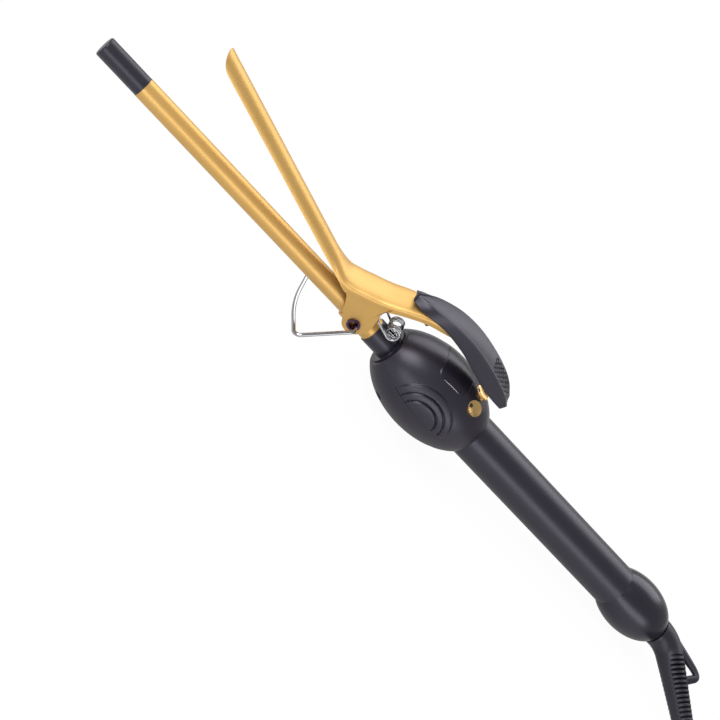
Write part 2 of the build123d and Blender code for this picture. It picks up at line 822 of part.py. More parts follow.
slope = 0.0
for _ in range(30):
    egg_hang = sqrt((egg_half_length * slope) ** 2 + egg_r**2)
    bulb_hang = sqrt((bulb_half_length * slope) ** 2 + bulb_r**2)
    slope = (egg_hang - bulb_hang) / (bulb_x - egg_x)
tilt = degrees(atan(slope))
floor_z = -slope * egg_x - egg_hang
lay = Rot(0, tilt, 0) * Pos(0, 0, -floor_z)
laid = {name: lay * item for name, item in parts.items()}
boxes = [item.bounding_box() for item in laid.values()]
middle_x = (min(box.min.X for box in boxes) + max(box.max.X for box in boxes)) / 2
middle_y = (min(box.min.Y for box in boxes) + max(box.max.Y for box in boxes)) / 2


# Free stretch of the lead, from the boot down to the floor and round to the coil

def bent_tube(points, name):
    """A tube through the points with the widest even bends that its runs allow."""
    bends = []
    for before, here, after in zip(points[:-2], points[1:-1], points[2:]):
        way_in = (here - before).normalized()
        way_out = (after - here).normalized()
        half_turn = way_in.get_angle(way_out) / 2
        shorter = min((here - before).length, (after - here).length)
        bends.append(corner_share * shorter / tan(radians(half_turn)))
    print(name, "bend radii", [round(radius, 1) for radius in bends])
    path = FilletPolyline(*points, radius=bends)
    print(name, "length", round(path.length, 1))
    return round_wire(path, cord_r)


coil_z0 = cord_r + coil_lift


def coil_point(t):
    """A point of the coil after t turns: in on the floor layer, out on the upper one."""
    inward = min(t, coil_turns - t)
    radius = coil_outer_r - coil_pitch * inward
    climb = min(max((t - (coil_turns - coil_climb) / 2) / coil_climb, 0.0), 1.0)
    z = coil_z0 + coil_layer * climb * climb * (3 - 2 * climb)
    a = 2 * pi * t - pi / 2
    return Vector(coil_x + radius * cos(a), coil_y + radius * sin(a), z)


coil_arcs = winding(coil_point, 0.0, coil_turns, 0.25)
coil_in = (coil_arcs[0] % 0).normalized()
coil_out = (coil_arcs[-1] % 1).normalized()
coil_start = coil_point(0.0) - coil_in * coil_stub
coil_finish = coil_point(coil_turns) + coil_out * coil_stub
stub_in = Line(coil_start, coil_point(0.0))
stub_out = Line(coil_point(coil_turns), coil_finish)
coil_path = Wire([stub_in] + coil_arcs + [stub_out])
print("coil gap to itself", round(self_gap(coil_path, 2 * cord_r, 1600, 8 * cord_r), 2))
print("coil length", round(coil_path.length, 1))

boot_at = (lay * Location(boot_end)).position
boot_ahead = (lay * Location(boot_end + boot_dir)).position - boot_at
free_points = [boot_at, boot_at + boot_ahead * cord_first_run]
free_points += [Vector(*point) for point in cord_route]
free_points += [coil_start - coil_in * cord_last_run, coil_start]
laid["cord_free"] = bent_tube(free_points, "cord_free")
laid["cord_coil"] = round_wire(coil_path, cord_r)

plug_z = plug_half_height
plug_back = Vector(plug_x, plug_y, plug_z)
tail_points = [coil_finish, coil_finish + coil_out * tail_first_run]
tail_points += [Vector(*point) for point in tail_route] + [plug_back]
laid["cord_tail"] = bent_tube(tail_points, "cord_tail")


# Plug, its two round pins and the tie round the coil

body_y = plug_y + plug_grip_length
front_y = body_y + plug_length
plug = box_between(
    (plug_x - plug_half_width, body_y, plug_z - plug_half_height),
    (plug_x + plug_half_width, front_y, plug_z + plug_half_height),
)
plug = fillet(plug.edges().filter_by(Axis.Y), plug_corner)
plug = fillet(plug.faces().sort_by(Axis.Y)[0].edges(), plug_corner / 2)
plug += cyl_y(plug_grip_r, plug_y, body_y + plug_corner, plug_x, plug_z)
pins = []
for side in (-1, 1):
    x = plug_x + side * pin_spacing / 2
    pin = cyl_y(pin_r, front_y, front_y + pin_length, x, plug_z)
    pin += cyl_y(pin_root_r, front_y - pin_root_length, front_y, x, plug_z)
    plug -= pin
    pins.append(pin)
laid["plug_body"] = plug
laid["plug_pins"] = Compound(children=pins)

tie_in = coil_y + coil_outer_r - coil_pitch * coil_turns / 2 - cord_r - tie_slack
tie_out = coil_y + coil_outer_r + cord_r
tie_low = coil_lift - tie_slack / 2
tie_high = coil_z0 + coil_layer + cord_r + tie_slack / 2
tie = box_between(
    (coil_x - tie_width / 2, tie_in - tie_wall, tie_low - tie_wall),
    (coil_x + tie_width / 2, tie_out + tie_wall, tie_high + tie_wall),
)
tie -= box_between((coil_x - tie_width, tie_in, tie_low), (coil_x + tie_width, tie_out, tie_high))
laid["coil_tie"] = tie


# Last shift: the middle of the iron's own box, on the floor, becomes the origin

home = Pos(-middle_x, -middle_y, 0)
print("tilt", round(tilt, 4), "floor", round(floor_z, 4), "middle", round(middle_x, 4), round(middle_y, 4))


def spot(label, x, y, z):
    """Print where a place of the iron's own frame ends up, in metres."""
    point = (home * lay * Pos(x, y, z)).position
    print(label, [round(value / 1000, 6) for value in point])


spot("hinge", 0, 0, 0)
spot("swivel", bulb_rear_x, 0, 0)
spot("tip end", tip_front_x, 0, 0)
for turn, name in zip(button_turns, button_names):
    a = radians(turn)
    spot(name, button_x, -egg_top * sin(a), egg_top * cos(a))

os.makedirs("parts", exist_ok=True)
for name, item in laid.items():
    placed = home * item
    box = placed.bounding_box()
    low = [round(value, 2) for value in box.min]
    high = [round(value, 2) for value in box.max]
    print(name, len(placed.solids()), round(placed.volume, 1), low, high)
    export_step(placed, f"parts/{name}.step")
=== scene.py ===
import json
from math import atan2, cos, floor, pi, radians, sin, sqrt, tan

import bpy
from mathutils import Matrix, Vector


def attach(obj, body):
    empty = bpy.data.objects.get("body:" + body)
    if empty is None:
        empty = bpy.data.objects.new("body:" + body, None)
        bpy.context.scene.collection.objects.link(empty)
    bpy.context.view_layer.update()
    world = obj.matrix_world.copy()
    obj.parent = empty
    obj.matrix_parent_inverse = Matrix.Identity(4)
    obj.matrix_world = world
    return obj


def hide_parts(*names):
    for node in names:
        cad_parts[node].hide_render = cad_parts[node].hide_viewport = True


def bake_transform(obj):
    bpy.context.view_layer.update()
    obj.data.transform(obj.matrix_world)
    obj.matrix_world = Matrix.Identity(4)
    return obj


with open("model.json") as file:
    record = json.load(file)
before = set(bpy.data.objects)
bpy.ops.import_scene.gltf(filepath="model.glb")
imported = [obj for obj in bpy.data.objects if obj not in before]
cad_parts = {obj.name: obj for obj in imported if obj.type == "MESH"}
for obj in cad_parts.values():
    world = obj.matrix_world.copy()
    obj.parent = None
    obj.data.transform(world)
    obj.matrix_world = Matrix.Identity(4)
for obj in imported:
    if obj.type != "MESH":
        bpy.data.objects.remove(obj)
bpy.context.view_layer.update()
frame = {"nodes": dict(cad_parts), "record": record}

record = frame["record"]
joints = {joint["name"]: joint for joint in record["behaviour"]["joints"]}

# The iron's own frame: millimetres, X from cool tip to cord, Z to the clip, hinge at zero
hinge = Vector(joints["clip_hinge"]["pos_m"])
alongX = Vector(joints["cord_swivel"]["axis"]).normalized()
acrossY = Vector((0, 1, 0))
upZ = alongX.cross(acrossY)
mm = 0.001
layMatrix = Matrix((alongX, acrossY, upZ)).transposed().to_4x4()
layMatrix.translation = hinge
layMatrix = layMatrix @ Matrix.Scale(mm, 4)

clipSwing = {"openDeg": -joints["clip_hinge"]["range_deg"][0]}
clipMatrix = layMatrix @ Matrix.Rotation(radians(clipSwing["openDeg"]), 4, "Y")


def onFloor(x, y, z):  # a spot on the floor, counted from below the hinge along the iron
    shiftX = hinge.x - hinge.z * tan(atan2(-alongX.z, alongX.x))
    return Vector((x * mm + shiftX, y * mm + hinge.y, z * mm))


def smoothStep(low, high, value):
    t = min(max((value - low) / (high - low), 0.0), 1.0)
    return t * t * (3 - 2 * t)


def curveThrough(points, x):  # smooth height at x through (x, height) points
    last = len(points) - 1
    i = 0
    while i < last - 1 and x > points[i + 1][0]:
        i += 1
    (x1, y1), (x2, y2) = points[i], points[i + 1]

    def slopeAt(k):
        a, b = points[max(k - 1, 0)], points[min(k + 1, last)]
        return (b[1] - a[1]) / (b[0] - a[0])

    run = x2 - x1
    t = min(max((x - x1) / run, 0.0), 1.0)
    h1, h2 = 2 * t**3 - 3 * t**2 + 1, t**3 - 2 * t**2 + t
    h3, h4 = -2 * t**3 + 3 * t**2, t**3 - t**2
    return h1 * y1 + h2 * run * slopeAt(i) + h3 * y2 + h4 * run * slopeAt(i + 1)


# Mesh helpers

def makePiece(name, verts, faces, matrix, material, body, slot, sharpDeg=35):
    mesh = bpy.data.meshes.new(name)
    mesh.from_pydata([matrix @ Vector(v) for v in verts], [], faces)
    mesh.update()
    mesh.polygons.foreach_set("use_smooth", [True] * len(mesh.polygons))
    mesh.set_sharp_from_angle(angle=radians(sharpDeg))
    piece = bpy.data.objects.new(name, mesh)
    bpy.context.collection.objects.link(piece)
    piece.data.materials.append(material)
    if body:
        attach(piece, body)
    return piece


def gridFaces(rows, cols, closed=False, offset=0):
    faces = []
    span = cols if closed else cols - 1
    for i in range(rows - 1):
        for j in range(span):
            k = (j + 1) % cols
            a = offset + i * cols
            faces.append((a + j, a + k, a + cols + k, a + cols + j))
    return faces


def closedGrid(rings, capEnds=True):  # rings of points, joined and capped
    cols = len(rings[0])
    verts = [point for ring in rings for point in ring]
    faces = gridFaces(len(rings), cols, closed=True)
    if capEnds:
        faces.append(tuple(range(cols))[::-1])
        first = (len(rings) - 1) * cols
        faces.append(tuple(range(first, first + cols)))
    return verts, faces


def sweptRings(points, radii, sides=20):  # rings round a path, without twist
    rings = []
    points = [Vector(p) for p in points]
    normal = None
    for i, point in enumerate(points):
        ahead = (points[min(i + 1, len(points) - 1)] - points[max(i - 1, 0)]).normalized()
        if normal is None:
            normal = ahead.orthogonal().normalized()
        normal = (normal - ahead * normal.dot(ahead)).normalized()
        side = ahead.cross(normal)
        r = radii[i]
        angles = [2 * pi * j / sides for j in range(sides)]
        rings.append([tuple(point + normal * (r * cos(a)) + side * (r * sin(a))) for a in angles])
    return rings


# Materials

def newMaterial(name):
    material = bpy.data.materials.new(name)
    material.use_nodes = True
    nodes = material.node_tree.nodes
    return material, nodes, material.node_tree.links, nodes["Principled BSDF"]


def grainNode(nodes, links, scale, detail=3.0, stretch=(1, 1, 1)):
    place = nodes.new("ShaderNodeTexCoord")
    turn = nodes.new("ShaderNodeMapping")
    turn.inputs["Rotation"].default_value = (0, atan2(alongX.z, alongX.x), 0)
    turn.inputs["Scale"].default_value = stretch
    grain = nodes.new("ShaderNodeTexNoise")
    grain.inputs["Scale"].default_value = scale
    grain.inputs["Detail"].default_value = detail
    links.new(place.outputs["Object"], turn.inputs["Vector"])
    links.new(turn.outputs["Vector"], grain.inputs["Vector"])
    return grain


def spread(nodes, links, source, low, high):
    ramp = nodes.new("ShaderNodeMapRange")
    ramp.inputs["To Min"].default_value = low
    ramp.inputs["To Max"].default_value = high
    links.new(source.outputs["Fac"], ramp.inputs["Value"])
    return ramp


def tint(nodes, links, source, dark, light):
    blend = nodes.new("ShaderNodeMix")
    blend.data_type = "RGBA"
    blend.inputs["A"].default_value = (*dark, 1)
    blend.inputs["B"].default_value = (*light, 1)
    links.new(source.outputs["Fac"], blend.inputs["Factor"])
    return blend


def relief(nodes, links, source, strength, distance):
    bump = nodes.new("ShaderNodeBump")
    bump.inputs["Strength"].default_value = strength
    bump.inputs["Distance"].default_value = distance
    links.new(source.outputs["Fac"], bump.inputs["Height"])
    return bump


metalGrain = {
    "lineScale": 60, "lineStretch": (0.5, 12, 12), "cloudScale": 45, "detail": 2.0,
    "roughSpread": 0.04, "bump": 0.02, "bumpDepth": 0.00003,
}
plasticGrain = {"cloudScale": 60, "smoother": 0.04, "rougher": 0.05, "bumpDepth": 0.00001}


def satinMetal(name, dark, light, rough, brushed=True, metallic=1.0):
    material, nodes, links, shader = newMaterial(name)
    shader.inputs["Metallic"].default_value = metallic
    stretch = metalGrain["lineStretch"] if brushed else (1, 1, 1)
    lines = grainNode(nodes, links, metalGrain["lineScale"], metalGrain["detail"], stretch)
    cloud = grainNode(nodes, links, metalGrain["cloudScale"], metalGrain["detail"])
    colour = tint(nodes, links, cloud, dark, light)
    wear = spread(nodes, links, lines, rough - metalGrain["roughSpread"], rough + metalGrain["roughSpread"])
    bump = relief(nodes, links, lines, metalGrain["bump"], metalGrain["bumpDepth"])
    links.new(colour.outputs["Result"], shader.inputs["Base Color"])
    links.new(wear.outputs["Result"], shader.inputs["Roughness"])
    links.new(bump.outputs["Normal"], shader.inputs["Normal"])
    return material


def mouldedPlastic(name, dark, light, rough, grainScale=1800, depth=0.4, specular=0.5, sheen=(1, 1, 1)):
    material, nodes, links, shader = newMaterial(name)
    shader.inputs["Specular Tint"].default_value = (*sheen, 1)
    shader.inputs["Specular IOR Level"].default_value = specular
    fine = grainNode(nodes, links, grainScale)
    cloud = grainNode(nodes, links, plasticGrain["cloudScale"])
    colour = tint(nodes, links, cloud, dark, light)
    wear = spread(nodes, links, cloud, rough - plasticGrain["smoother"], rough + plasticGrain["rougher"])
    bump = relief(nodes, links, fine, depth, plasticGrain["bumpDepth"])
    links.new(colour.outputs["Result"], shader.inputs["Base Color"])
    links.new(wear.outputs["Result"], shader.inputs["Roughness"])
    links.new(bump.outputs["Normal"], shader.inputs["Normal"])
    return material


violetGloss = (0.88, 0.85, 1.0)  # the black mouldings shine a little violet
finishes = {
    "gold": satinMetal("satinGold", (0.62, 0.372, 0.110), (0.675, 0.413, 0.132), 0.42, True, 0.62),
    "black_plastic": mouldedPlastic(
        "satinBlack", (0.0110, 0.0092, 0.0145), (0.0150, 0.0128, 0.0195), 0.36, 1500, 0.18, 0.6, violetGloss,
    ),
    "gloss_black": mouldedPlastic(
        "glossBlack", (0.0090, 0.0076, 0.0120), (0.0125, 0.0108, 0.0165), 0.27, 1500, 0.15, 0.6, violetGloss,
    ),
    "ceramic": mouldedPlastic("whiteCeramic", (0.78, 0.76, 0.72), (0.86, 0.84, 0.80), 0.5),
    "aluminium": satinMetal("sleeveMetal", (0.66, 0.66, 0.67), (0.76, 0.76, 0.77), 0.35),
    "wire_insulation": mouldedPlastic("leadRed", (0.55, 0.06, 0.05), (0.65, 0.09, 0.07), 0.45),
    "rivet": satinMetal("violetRivet", (0.09, 0.045, 0.11), (0.15, 0.085, 0.18), 0.32, False),
    "chrome": satinMetal("brightWire", (0.36, 0.36, 0.38), (0.46, 0.46, 0.48), 0.12, False),
    "steel": satinMetal("darkSteel", (0.16, 0.16, 0.17), (0.24, 0.24, 0.25), 0.34, False),
    "board": mouldedPlastic("boardGreen", (0.02, 0.14, 0.06), (0.03, 0.19, 0.09), 0.45),
    "gold_button": satinMetal("buttonGold", (0.74, 0.47, 0.18), (0.84, 0.57, 0.25), 0.26, False),
    "brass": satinMetal("contactBrass", (0.62, 0.46, 0.18), (0.74, 0.57, 0.25), 0.3),
    "cord_rubber": mouldedPlastic(
        "leadRubber", (0.0120, 0.0106, 0.0152), (0.0165, 0.0148, 0.0205), 0.42, 1800, 0.4, 0.5, violetGloss,
    ),
    "tie": mouldedPlastic("tieBlack", (0.03, 0.03, 0.033), (0.045, 0.044, 0.048), 0.5),
}

# Every solid of the frame takes the finish of its slot
for part in record["subparts"]:
    node = frame["nodes"][part["node"]]
    node.data.materials.clear()
    node.data.materials.append(finishes[part["material_slot"]])
print("finishes set")


# Camera: fitted to the iron's straight edges in the photograph

photoCamera = {
    "place": (-200.39, -483.66, 342.79),
    "ahead": (0.341304, 0.755588, -0.559105),
    "up": (-0.678770, 0.609595, 0.409468),
    "lens": 77.83,
    "sensor": 36.0,
    "farthest": 50,
}
cameraData = bpy.data.cameras.new("photoCamera")
cameraData.lens = photoCamera["lens"]
cameraData.sensor_width = photoCamera["sensor"]
cameraData.clip_end = photoCamera["farthest"]
camera = bpy.data.objects.new("photoCamera", cameraData)
bpy.context.collection.objects.link(camera)
turnOnly = layMatrix.to_3x3().normalized()
ahead = (turnOnly @ Vector(photoCamera["ahead"])).normalized()
upward = (turnOnly @ Vector(photoCamera["up"])).normalized()
sideways = ahead.cross(upward)
camera.matrix_world = Matrix((sideways, upward, -ahead)).transposed().to_4x4()
camera.matrix_world.translation = layMatrix @ Vector(photoCamera["place"])
bpy.context.scene.camera = camera
bpy.context.scene.view_settings.view_transform = "Standard"


# Boot: elbow, slotted run with two plain spines, and hang loop in one moulding

boot = {
    "startX": 206.0, "straight": 0.6, "startRadius": 6.88, "runRadius": 6.25, "endRadius": 4.4,
    "bendDeg": 55.4, "bendRadius": 12.2, "turnDeg": 84.5, "blunt": 0.25, "step": 0.13, "sides": 96,
    "skirt": ((205.3, 4.5), (205.3, 5.6), (204.85, 6.2), (204.5, 6.7), (204.6, 6.88), (205.2, 6.92)),
    "ribs": 17, "ribPitch": 2.08, "slotStart": 1.3, "slotHalf": (0.24, 0.56), "slotFlat": (0.82, 0.58),
    "slotDeepen": 7.0, "slotTurnDeg": 12.0, "slotLeast": 0.01, "loopSides": 24,
    "loopRadius": ((0.0, 2.2), (0.42, 1.5), (0.75, 1.85), (1.0, 1.95)), "loopTurnDeg": 28.0,
    "loop": ((-5.0, 4.5), (2.0, 8.0), (8.4, 11.2), (11.2, 10.9), (11.4, 8.0), (11.9, 4.5)),
}
bendAngle = radians(boot["bendDeg"])
elbowEnd = boot["straight"] + boot["bendRadius"] * bendAngle
ribRun = boot["ribs"] * boot["ribPitch"]
bootLength = elbowEnd + ribRun - boot["blunt"]
bootTurn = radians(boot["turnDeg"])
bootSide = Vector((0, cos(bootTurn), -sin(bootTurn)))  # square to the plane that the boot bends in


def bootPoint(distance):  # centre line of the boot, drawn bending down and then turned aside
    past = max(distance - boot["straight"], 0)
    a = min(past / boot["bendRadius"], bendAngle)
    run = max(distance - elbowEnd, 0)
    x = min(distance, boot["straight"]) + boot["bendRadius"] * sin(a) + run * cos(a)
    drop = boot["bendRadius"] * (1 - cos(a)) + run * sin(a)
    ahead = Vector((cos(a), -sin(a) * sin(bootTurn), -sin(a) * cos(bootTurn)))
    return Vector((boot["startX"] + x, -drop * sin(bootTurn), -drop * cos(bootTurn))), ahead


def bootRadius(distance, angle):
    along = distance - elbowEnd
    if along < 0:
        return boot["startRadius"] + (boot["runRadius"] - boot["startRadius"]) * distance / elbowEnd
    crest = boot["runRadius"] + (boot["endRadius"] - boot["runRadius"]) * along / ribRun
    past = max(along - boot["slotStart"], -boot["ribPitch"] / 2) % boot["ribPitch"]
    slot = 1 - smoothStep(*boot["slotHalf"], min(past, boot["ribPitch"] - past))
    first, full = boot["slotFlat"]
    flat = crest * (first + (full - first) * smoothStep(0.0, boot["slotDeepen"], along))
    across = max(abs(sin(angle - radians(boot["slotTurnDeg"]))), boot["slotLeast"])
    return crest - slot * max(crest - flat / across, 0)  # each slot is cut straight across


bootSteps = int(bootLength / boot["step"])
bootAngles = [2 * pi * j / boot["sides"] for j in range(boot["sides"])]
skirtOut = bootSide.cross(Vector((1, 0, 0)))
bootRings = []
for x, r in boot["skirt"]:
    centre = Vector((x, 0, 0))
    bootRings.append([tuple(centre + (skirtOut * cos(a) + bootSide * sin(a)) * r) for a in bootAngles])
for i in range(bootSteps + 1):
    distance = bootLength * i / bootSteps
    centre, ahead = bootPoint(distance)
    out = bootSide.cross(ahead)
    bootRings.append([
        tuple(centre + (out * cos(a) + bootSide * sin(a)) * bootRadius(distance, a)) for a in bootAngles
    ])
bootVerts, bootFaces = closedGrid(bootRings)

runStart, runAhead = bootPoint(elbowEnd)
loopTurn = radians(boot["loopTurnDeg"])
loopOut = bootSide.cross(runAhead) * -cos(loopTurn) - bootSide * sin(loopTurn)


def loopSpot(along, out):
    return runStart + runAhead * along + loopOut * out


def readSpline(name, points):  # the points of a smooth open spline through its control points
    line = bpy.data.curves.new(name, "CURVE")
    line.dimensions = "3D"
    line.resolution_u = 8
    spline = line.splines.new("NURBS")
    spline.points.add(len(points) - 1)
    for spot, point in zip(spline.points, points):
        spot.co = (*point, 1)
    spline.order_u = 3
    spline.use_endpoint_u = True
    holder = bpy.data.objects.new(name, line)
    mesh = bpy.data.meshes.new_from_object(holder)
    read = [v.co.copy() for v in mesh.vertices]
    bpy.data.objects.remove(holder)
    bpy.data.curves.remove(line)
    bpy.data.meshes.remove(mesh)
    return read


loopPath = readSpline("loopLine", [loopSpot(a, o) for a, o in boot["loop"]])
loopRadii = [curveThrough(boot["loopRadius"], i / (len(loopPath) - 1)) for i in range(len(loopPath))]
loopRings = sweptRings(loopPath, loopRadii, boot["loopSides"])
loopVerts, loopFaces = closedGrid(loopRings)
shift = len(bootVerts)
bootPiece = makePiece(
    "rubberBoot", bootVerts + loopVerts, bootFaces + [tuple(i + shift for i in f) for f in loopFaces],
    layMatrix, finishes["cord_rubber"], "swivel", "cord_rubber", 50,
)
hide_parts("strain_relief")
print("boot made")


# Lead: one smooth line from the boot, round the coil and on to the plug

lead = {
    "radius": 2.75, "firstRun": 20.0, "route": [(268.5, -61.2, 3.3)], "lastRun": 21.0,
    "coilX": 310.4, "coilY": -21.0, "coilRadius": 41.4, "coilPitch": 6.0, "coilLayer": 5.95,
    "coilTurns": 7.0, "coilClimb": 0.5, "coilLift": 1.2, "coilStub": 5.5, "perTurn": 16,
    "entryOut": 0.55, "stubOut": 0.1, "leaveOut": 0.8, "sides": 18,
    "tailFirst": 29.4, "tailRoute": [(361.7, -57.4, 7.2), (370.8, -45.4, 6.6)], "plug": (370.8, -31.0, 6.6),
}
outward = 2 / (1 + cos(2 * pi / lead["perTurn"]))  # the spline runs inside its points by this much


def coilSpot(turns):
    inward = min(turns, lead["coilTurns"] - turns)
    radius = (lead["coilRadius"] - lead["coilPitch"] * inward) * outward
    start = (lead["coilTurns"] - lead["coilClimb"]) / 2
    rise = smoothStep(start, start + lead["coilClimb"], turns)
    a = 2 * pi * turns - pi / 2
    z = lead["radius"] + lead["coilLift"] + lead["coilLayer"] * rise
    return onFloor(lead["coilX"] + radius * cos(a), lead["coilY"] + radius * sin(a), z)


bootEnd = layMatrix @ bootPoint(bootLength)[0]
leadAhead = (turnOnly @ runAhead).normalized()
leadHeight = lead["radius"] + lead["coilLift"]
coilLowY = lead["coilY"] - lead["coilRadius"]
entry = [(lead["coilX"] - lead["coilStub"] - lead["lastRun"], coilLowY - lead["entryOut"], leadHeight)]
entry.append((lead["coilX"] - lead["coilStub"], coilLowY - lead["stubOut"], leadHeight))
leadPoints = [bootEnd, bootEnd + leadAhead * lead["firstRun"] * mm]
leadPoints += [onFloor(*spot) for spot in lead["route"] + entry]
coilCount = int(lead["coilTurns"] * lead["perTurn"])
leadPoints += [coilSpot(i / lead["perTurn"]) for i in range(1, coilCount)]
topHeight = leadHeight + lead["coilLayer"]
leave = [(lead["coilX"] + lead["coilStub"], coilLowY - lead["stubOut"], topHeight)]
leaveX = lead["coilX"] + lead["coilStub"] + lead["tailFirst"]
leave.append((leaveX, coilLowY - lead["leaveOut"], topHeight))
leadPoints += [onFloor(*spot) for spot in leave + lead["tailRoute"] + [lead["plug"]]]
leadPath = readSpline("leadLine", leadPoints)
leadRings = sweptRings(leadPath, [lead["radius"] * mm] * len(leadPath), lead["sides"])
leadPiece = makePiece(
    "mainsLead", *closedGrid(leadRings), Matrix.Identity(4), finishes["cord_rubber"], None, "cord_rubber", 60
)
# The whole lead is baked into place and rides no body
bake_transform(leadPiece)
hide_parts("cord_free", "cord_coil", "cord_tail")


# Housing: the upper shell of the egg, with terraced ridges on both flanks

egg = {
    "x": 45.7, "half": 31.0, "radius": 19.3, "frontX": 19.3, "rearX": 71.0, "mouth": 8.5, "tail": 10.3,
    "rows": 150, "cols": 220, "seam": 0.03, "lip": 1.2, "edgeRound": 0.5,
    "mouthX": 21.6, "tailX": 68.0, "crowd": 0.35,  # share by which rows crowd towards the ends
    "mouthRound": ((0.5, 0.0), (0.1, 0.12), (0.0, 0.5)), "frontRound": ((0.0, 0.75), (0.12, 0.3)),
    "rearRound": (0.05, 0.35),
}
ridge = {
    "x": 43.8, "half": 14.7, "rise": 12.5, "height": 0.85, "soft": 0.025,
    "footDepth": 0.3, "foot": (0.25, 0.6),
    "bands": ((0.80, 1.0), (0.58, 0.77), (-1.0, 0.54)),
}


def eggRadius(x):
    return egg["radius"] * sqrt(max(1 - ((x - egg["x"]) / egg["half"]) ** 2, 0))


def ridgeHeight(x, z):
    q = sqrt(((x - ridge["x"]) / ridge["half"]) ** 2 + (z / ridge["rise"]) ** 2)
    height = 0.0
    for low, high in ridge["bands"]:
        up = smoothStep(low - ridge["soft"], low + ridge["soft"], q)
        down = 1 - smoothStep(high - ridge["soft"], high + ridge["soft"], q)
        height = max(height, up * down)
    foot = 1 - smoothStep(*ridge["foot"], z)  # the ridges stop just above the parting line
    inside = 1 - smoothStep(1 - ridge["soft"], 1 + ridge["soft"], q)
    return ridge["height"] * height * (1 - foot) - ridge["footDepth"] * foot * inside


def eggShell(name, node):
    front, last = egg["frontX"], egg["rearX"]
    first = front + egg["edgeRound"]
    run, crowd = last - first, egg["crowd"]
    stations = []
    for i in range(egg["rows"]):
        t = i / (egg["rows"] - 1)
        stations.append(first + run * (0.5 - 0.5 * cos(pi * t)) * crowd + run * t * (1 - crowd))
    rows = [(egg["mouthX"], egg["mouth"], False)]  # x, radius and whether the ridges stand on it
    rows += [(front + back, egg["mouth"] + out, False) for back, out in egg["mouthRound"]]
    rows += [(front + back, eggRadius(first) - drop, False) for back, drop in egg["frontRound"]]
    rows += [(x, eggRadius(x), True) for x in stations]
    rearOut, rearDrop = egg["rearRound"]
    rows += [(last + rearOut, eggRadius(last) - rearDrop, False)]
    rows += [(last, egg["tail"], False), (egg["tailX"], egg["tail"], False)]
    cols = egg["cols"]
    verts = []
    for x, r, skin in rows:
        ring = []
        for j in range(cols):
            a = -pi / 2 + pi * j / (cols - 1)
            y, z = -r * sin(a), r * cos(a)
            z = max(z, egg["seam"])
            if skin:
                grow = ridgeHeight(x, z)
                y, z = y * (1 + grow / r), z * (1 + grow / r)
            ring.append((x, y, z))
        ring.insert(0, (x, ring[0][1] * (1 - egg["lip"] / r), ring[0][2]))
        ring.append((x, ring[-1][1] * (1 - egg["lip"] / r), ring[-1][2]))
        verts += ring
    faces = [face[::-1] for face in gridFaces(len(rows), cols + 2)]
    piece = makePiece(name, verts, faces, layMatrix, finishes["black_plastic"], "iron", "black_plastic", 40)
    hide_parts(node)


eggShell("eggUpper", "housing_upper")

window = {
    "x0": 35.5, "x1": 51.5, "halfWidth": 10.6, "corner": 3.5, "proud": 0.3, "drop": 0.42, "rim": 0.06,
    "count": 60,
    # the keys below place a thin bright metal strip, a painted highlight along the pane's near edge
    "highlightLine": (39.0, 47.8), "highlightRadius": 0.16, "highlightY": -10.45, "highlightSteps": 25, "highlightSides": 10,
}
paneFinish = mouldedPlastic(
    "paneBlack", (0.0080, 0.0068, 0.0105), (0.0110, 0.0095, 0.0140), 0.3, 1500, 0.05, 0.5, violetGloss,
)


def windowPiece():
    verts = []
    count = window["count"]
    midX, halfX = (window["x0"] + window["x1"]) / 2, (window["x1"] - window["x0"]) / 2
    for i in range(count + 1):
        for j in range(count + 1):
            u, v = 2 * i / count - 1, 2 * j / count - 1
            x, y = u * halfX, v * window["halfWidth"]
            cornerX, cornerY = halfX - window["corner"], window["halfWidth"] - window["corner"]
            if abs(x) > cornerX and abs(y) > cornerY:  # pull the corners in to a round
                dx, dy = abs(x) - cornerX, abs(y) - cornerY
                squeeze = max(dx, dy) / sqrt(dx * dx + dy * dy)
                x = (cornerX + dx * squeeze) * (1 if x > 0 else -1)
                y = (cornerY + dy * squeeze) * (1 if y > 0 else -1)
            edge = max(abs(u), abs(v))
            proud = window["proud"] - window["drop"] * smoothStep(1 - window["rim"], 1.0, edge)
            r = eggRadius(midX + x) + proud
            verts.append((midX + x, y, sqrt(r * r - y * y)))
    faces = [face[::-1] for face in gridFaces(count + 1, count + 1)]
    piece = makePiece("displayPane", verts, faces, layMatrix, paneFinish, "iron", "gloss_black", 60)
    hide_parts("display_window")


def paneHighlightStrip():  # a bright metal strip that paints on the highlight along the pane's near edge, thinner towards both ends
    lineStart, lineEnd = window["highlightLine"]
    steps, y = window["highlightSteps"], window["highlightY"]
    points, radii = [], []
    for i in range(steps):
        x = lineStart + (lineEnd - lineStart) * i / (steps - 1)
        r = eggRadius(x) + window["proud"]
        points.append((x, y, sqrt(r * r - y ** 2)))
        radii.append(window["highlightRadius"] * sqrt(sin(pi * (i + 0.5) / steps)))
    rings = sweptRings(points, radii, window["highlightSides"])
    makePiece("paneHighlightStrip", *closedGrid(rings), layMatrix, finishes["aluminium"], "iron", "aluminium", 60)


windowPiece()
# painted highlight: a bright metal strip standing in for the light caught by the pane's near edge
paneHighlightStrip()
print("housing made")


# Clip: one bent sheet, round over the barrel and square over the hinge, with an ear on each side

